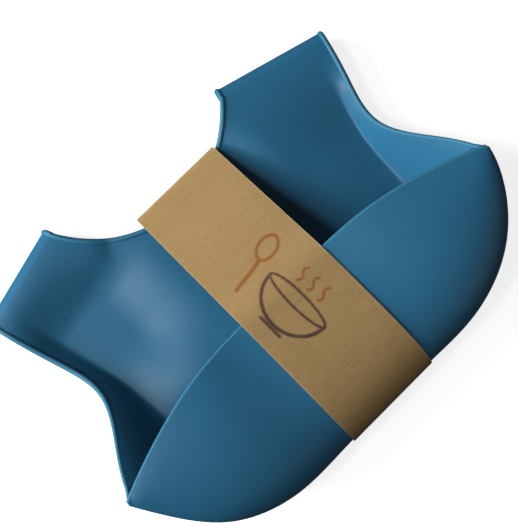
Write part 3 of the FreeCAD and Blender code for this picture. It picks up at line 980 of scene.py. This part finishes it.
def sleeve_rows(line):
    """Shares of the card's length for its mesh's rows, and where each is along the drawing."""
    fine = np.linspace(0, 1, 4000)
    spots = line.at(fine)
    length = np.concatenate(([0.0], np.cumsum(np.linalg.norm(np.diff(spots, axis=0), axis=1))))
    # the drawing is centred where the card crosses the rim, on the upper side
    on_top = (spots[:, 1] > 20) & (spots[:, 0] > -70)
    centre = length[on_top][np.argmin(np.abs(spots[on_top, 0] - RIM_CENTRE[1]))]
    start, end = centre - DRAWING_HALF, centre + DRAWING_HALF
    rows = np.concatenate(
        (
            np.arange(0, start, COARSE_ROW),
            np.arange(start, end, FINE_ROW),
            np.arange(end, length[-1], COARSE_ROW),
            length[-1:],
        )
    )
    return np.interp(rows, length, fine), centre - rows


def build_sleeve():
    """The card sleeve, with its inks and pale cut edges marked on its vertices."""
    line = sleeve_line()
    share, along_drawing = sleeve_rows(line)
    middle = line.at(share)
    across = np.linspace(-0.5, 0.5, SLEEVE_COLUMNS + 1) * SLEEVE_WIDTH
    grid = np.empty((len(share), len(across), 3))
    grid[..., 0] = SLEEVE_CENTRE_X + across
    grid[..., 1:] = middle[:, None]
    run = unit(line.at(np.minimum(share + 1e-4, 1)) - line.at(np.maximum(share - 1e-4, 0)))
    normals = np.zeros_like(grid)
    normals[..., 1] = -run[:, None, 1]
    normals[..., 2] = run[:, None, 0]
    points, faces = thick_sheet(grid[:, ::-1], normals[:, ::-1], CARD_THICKNESS)
    # the drawing reads along the band, toward the pocket's bottom
    p = np.broadcast_to(along_drawing[:, None], grid.shape[:2])
    q = np.broadcast_to(across[None, ::-1], grid.shape[:2])
    dark, warm = printed(p, q)
    inks = {"dark_ink": dark, "warm_ink": warm}
    blank = np.zeros(grid.shape[0] * grid.shape[1])
    marks = {name: np.concatenate((ink.ravel(), blank)) for name, ink in inks.items()}
    cut = np.zeros(grid.shape[:2])
    cut[:, [0, -1]] = CUT_PALENESS
    cut[[0, -1]] = CUT_PALENESS
    marks["cut"] = np.tile(cut.ravel(), 2)
    sleeve = make_object("card_sleeve_printed", [(points, faces)], CARD, marks=marks)
    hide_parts("card_sleeve")
    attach(sleeve, "sleeve")


for number in range(STUDS):
    build_stud(number)
build_sleeve()
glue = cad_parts["sleeve_glue"]
glue.data.materials.clear()
glue.data.materials.append(GLUE)


# ---- floor, camera and light

FLOOR_SIZE = 80.0
FLOOR_LEVEL = -0.0003

# the camera looks almost straight down, with the bib turned about an eighth of a circle
NEAR = np.array((-math.cos(math.radians(45.3)), -math.sin(math.radians(45.3)), 0.0))
TARGET = np.array((0.0015, 0.007, 0.010))
TILT = math.radians(5.2)
DISTANCE = 0.45
SENSOR = 36
LENS = 65.39
AIM_RIGHT = 0.0038
AIM_UP = 0.0007


def build_floor():
    mesh = bpy.data.meshes.new("floor")
    reach = FLOOR_SIZE / 2
    corners = ((-1, -1), (1, -1), (1, 1), (-1, 1))
    mesh.from_pydata([(x * reach, y * reach, FLOOR_LEVEL) for x, y in corners], [], [(0, 1, 2, 3)])
    floor = bpy.data.objects.new("floor", mesh)
    bpy.context.scene.collection.objects.link(floor)
    mesh.materials.append(floor_paint())
    floor.visible_diffuse = False
    floor.visible_glossy = False


def view_axes(forward):
    """The right and up directions of a picture taken that way, far side up."""
    right = forward.cross(Vector(-NEAR)).normalized()
    return right, right.cross(forward).normalized()


def place_camera():
    data = bpy.data.cameras.new("camera")
    data.sensor_width = SENSOR
    data.lens = LENS
    camera = bpy.data.objects.new("camera", data)
    bpy.context.scene.collection.objects.link(camera)
    back = NEAR * math.sin(TILT) + UPWARD * math.cos(TILT)
    camera.location = Vector(TARGET + back * DISTANCE)
    right, up = view_axes(Vector(-back))
    aim = Vector(TARGET) + right * AIM_RIGHT + up * AIM_UP
    forward = (aim - camera.location).normalized()
    right, up = view_axes(forward)
    camera.rotation_euler = Matrix((right, up, -forward)).transposed().to_euler()
    bpy.context.scene.camera = camera


def area_light(name, place, aim, size, power):
    data = bpy.data.lights.new(name, "AREA")
    data.shape = "SQUARE"
    data.size = size
    data.energy = power
    light = bpy.data.objects.new(name, data)
    bpy.context.scene.collection.objects.link(light)
    light.location = place
    light.rotation_euler = (Vector(aim) - Vector(place)).to_track_quat("-Z", "Y").to_euler()
    return light


def build_sky():
    """A soft white sky, a little stronger overhead."""
    world = bpy.data.worlds.new("studio")
    world.use_nodes = True
    nodes, links = world.node_tree.nodes, world.node_tree.links
    direction = nodes.new("ShaderNodeTexCoord").outputs["Generated"]
    split = nodes.new("ShaderNodeSeparateXYZ")
    strength = nodes.new("ShaderNodeMapRange")
    for name, value in (("From Min", -0.1), ("From Max", 0.5), ("To Min", 0.04), ("To Max", 0.06)):
        strength.inputs[name].default_value = value
    links.new(direction, split.inputs["Vector"])
    links.new(split.outputs["Z"], strength.inputs["Value"])
    links.new(strength.outputs["Result"], nodes["Background"].inputs["Strength"])
    nodes["Background"].inputs["Color"].default_value = (1, 1, 1, 1)
    bpy.context.scene.world = world


build_floor()
place_camera()
# the key light gives no highlight of its own: the larger and fainter window beside it does
key = area_light("key", (-1.12, 0.97, 0.60), (0, 0, 0.02), 0.8, 45)
key.visible_glossy = False
area_light("window", (-1.12, 0.95, 0.64), (0, 0, 0.02), 1.3, 6)
area_light("top", (-0.82, 0.38, 1.4), (0, 0, 0), 0.30, 7.5)
area_light("fill", (0.5, -0.9, 0.5), (0, 0, 0.02), 0.8, 0.5)
build_sky()
bpy.context.scene.view_settings.view_transform = "Standard"
